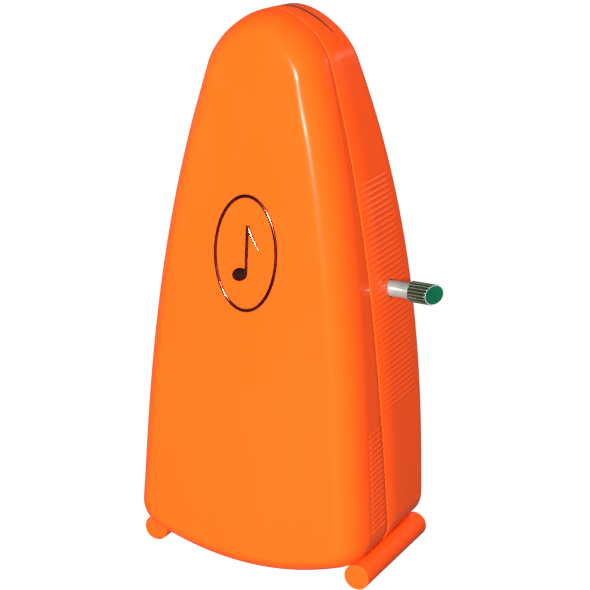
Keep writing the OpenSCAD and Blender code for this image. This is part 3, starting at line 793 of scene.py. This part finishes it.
def badge():
    """Hot-stamped foil: an oval bead round a plain eighth note."""
    half_width, height = BADGE_WIRE
    oval = [(BADGE_HALF[0] * math.cos(a), BADGE_HALF[1] * math.sin(a), 1)
            for a in np.linspace(0, TAU, 120, endpoint=False)]
    low, high = np.array(NOTE_STEM)
    stem = [(*lerp(low, high, t), 1) for t in np.linspace(0, 1, 8)]
    flag = []
    for t in np.linspace(0, 1, 20):
        weights = ((1 - t) ** 3, 3 * t * (1 - t) ** 2, 3 * t * t * (1 - t), t ** 3)
        x, z = sum(w * np.array(p) for w, p in zip(weights, NOTE_FLAG))
        flag.append((x, z, 1.15 - 0.8 * t))
    meshes = [raised_line("badge_rim", oval, True, half_width, height),
              raised_line("badge_note_stem", stem, False, half_width, height),
              raised_line("badge_note_flag", flag, False, half_width * 1.1, height), note_head()]
    for mesh in meshes:
        smooth(piece(mesh.name, mesh, foil, "cover", ["cover_badge"]), 50)


badge()


# ---------------------------------------------------------------- tempo scale

SCALE_FACE_Y = -4.5
SCALE_TOP, SCALE_STEP = 120.5, 3.3
TEMPOS = (40, 44, 48, 54, 60, 66, 72, 80, 88, 100, 112, 126, 144, 168, 184, 208)
TICK_X, TICK_H, INK_T = (2.2, 4.6), 0.28, 0.02
NUMBER_X, NUMBER_SIZE = 6.3, 1.9


def scale_marks():
    """A tick and a tempo number at each height, on the left and the right in turn."""
    verts, faces = [], []
    for step, tempo in enumerate(TEMPOS):
        side, z = (-1, 1)[step % 2], SCALE_TOP - SCALE_STEP * step
        start = len(verts)
        for y in (SCALE_FACE_Y - INK_T, SCALE_FACE_Y + 0.01):
            for x, up in ((0, -1), (1, -1), (1, 1), (0, 1)):
                verts.append([side * TICK_X[x] * MM, y * MM, (z + up * TICK_H / 2) * MM])
        faces += [[start + i for i in face] for face in
                  ((0, 1, 2, 3), (4, 5, 6, 7), (0, 1, 5, 4), (1, 2, 6, 5), (2, 3, 7, 6), (3, 0, 4, 7))]
        number(tempo, side * NUMBER_X, z)
    piece("scale_ticks", solid("scale_ticks", verts, faces), ink, "case")


def number(tempo, x, z):
    """A printed number centred on a point of the scale plate."""
    curve = bpy.data.curves.new(f"tempo_{tempo}", "FONT")
    curve.body = str(tempo)
    curve.size = NUMBER_SIZE * MM
    curve.align_x, curve.align_y = "CENTER", "CENTER"
    curve.extrude = INK_T / 2 * MM
    letters = bpy.data.objects.new(f"tempo_{tempo}_text", curve)
    bpy.context.collection.objects.link(letters)
    shape = letters.evaluated_get(bpy.context.evaluated_depsgraph_get())
    mesh = bpy.data.meshes.new_from_object(shape)
    mesh.name = f"tempo_{tempo}"
    bpy.data.objects.remove(letters)
    place = Matrix.Translation((x * MM, (SCALE_FACE_Y - INK_T / 2) * MM, z * MM))
    mesh.transform(place @ Matrix.Rotation(TAU / 4, 4, "X"))
    mesh.materials.clear()
    piece(f"tempo_{tempo}", mesh, ink, "case")


scale_marks()


# ---------------------------------------------------------------- carried-over CAD nodes

FINISHES = (
    (panel_black, ["front_panel"]),
    (scale_paint, ["scale_plate"]),
    (brass, ["movement_plate_left", "movement_plate_right", "plate_pillars", "rear_bridge",
             "front_bush", "pendulum_hub", "barrel", "barrel_cap", "sliding_weight"]),
    (brass_wheel, ["ratchet_wheel", "second_wheel", "escape_wheel"]),
    (steel, ["foot_screws", "panel_screws", "rod_catch", "pillar_screws", "lug_screws",
             "bridge_screws", "pendulum_staff", "pendulum_nut", "pendulum_rod", "pallets",
             "winding_arbor", "click", "click_stud", "second_arbor", "escape_arbor"]),
    (blued, ["weight_spring", "click_spring", "mainspring"]),
    (iron, ["lower_bob"]),
)
for material, nodes in FINISHES:
    for node in nodes:
        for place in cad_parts[node].material_slots:
            place.material = material


# ---------------------------------------------------------------- studio

FLOOR_SIDES, FLOOR_REACH = 64, 4.0  # metres
LIGHT_AIM_Z = 85
WORLD_BAND = 0.3
WORLD_LOW, WORLD_HIGH = 0.18, 0.1


def studio():
    """A round pale floor with a wall round it, and a dim even sky."""
    floor_mesh = bpy.data.meshes.new("floor")
    verts = [(FLOOR_REACH * math.cos(t), FLOOR_REACH * math.sin(t), z) for z in (0, FLOOR_REACH)
             for t in np.linspace(0, TAU, FLOOR_SIDES, endpoint=False)]
    wall = [(i, (i + 1) % FLOOR_SIDES, FLOOR_SIDES + (i + 1) % FLOOR_SIDES, FLOOR_SIDES + i)
            for i in range(FLOOR_SIDES)]
    floor_mesh.from_pydata(verts, [], [tuple(range(FLOOR_SIDES))] + wall)
    floor = bpy.data.objects.new("floor", floor_mesh)
    bpy.context.collection.objects.link(floor)
    n = Nodes("floor_paint")
    n.put("Base Color", n.mix(n.noise(3, 2), (0.24, 0.24, 0.24), (0.26, 0.26, 0.26)))
    plain(n, Roughness=0.8, Specular_IOR_Level=0.1)
    plain(n, Emission_Color=(1, 1, 1, 1), Emission_Strength=0.9)
    floor_mesh.materials.append(n.material)
    floor.visible_diffuse = False
    floor.visible_glossy = False
    floor.visible_shadow = False

    world = bpy.data.worlds.new("studio")
    bpy.context.scene.world = world
    world.use_nodes = True
    tree = world.node_tree
    where = tree.nodes.new("ShaderNodeTexCoord").outputs["Generated"]
    height = tree.nodes.new("ShaderNodeSeparateXYZ")
    ramp = tree.nodes.new("ShaderNodeMapRange")
    tree.links.new(where, height.inputs[0])
    tree.links.new(height.outputs["Z"], ramp.inputs["Value"])
    ramp.inputs["From Min"].default_value = -WORLD_BAND
    ramp.inputs["From Max"].default_value = WORLD_BAND
    ramp.inputs["To Min"].default_value = WORLD_LOW
    ramp.inputs["To Max"].default_value = WORLD_HIGH
    tree.links.new(ramp.outputs[0], tree.nodes["Background"].inputs["Strength"])
    tree.nodes["Background"].inputs["Color"].default_value = (1, 1, 1, 1)


def soft_light(name, azimuth, elevation, distance, size, power, mirrored=True):
    """An area light that faces the middle of the case from a direction in degrees. The distance
    and size are in metres, and a fill that isn't mirrored leaves no highlight."""
    back = direction(azimuth, elevation)
    data = bpy.data.lights.new(name, "AREA")
    data.shape = "RECTANGLE"
    data.size, data.size_y = size
    data.energy = power
    light = bpy.data.objects.new(name, data)
    light.location = Vector((0, 0, LIGHT_AIM_Z * MM)) + back * distance
    light.rotation_mode = "QUATERNION"
    light.rotation_quaternion = back.to_track_quat("Z", "Y")
    light.visible_camera = False
    light.visible_glossy = mirrored
    bpy.context.collection.objects.link(light)


studio()
soft_light("key_light", 17, 17, 1.3, (0.16, 0.24), 47)
soft_light("rim_light", 149, 14, 1.0, (0.25, 0.07), 0.3)
soft_light("back_fill", 188, 14, 1.6, (1.0, 1.0), 15, mirrored=False)
soft_light("left_fill", -100, 12, 1.6, (0.9, 0.9), 13, mirrored=False)
bpy.context.scene.view_settings.view_transform = "Standard"
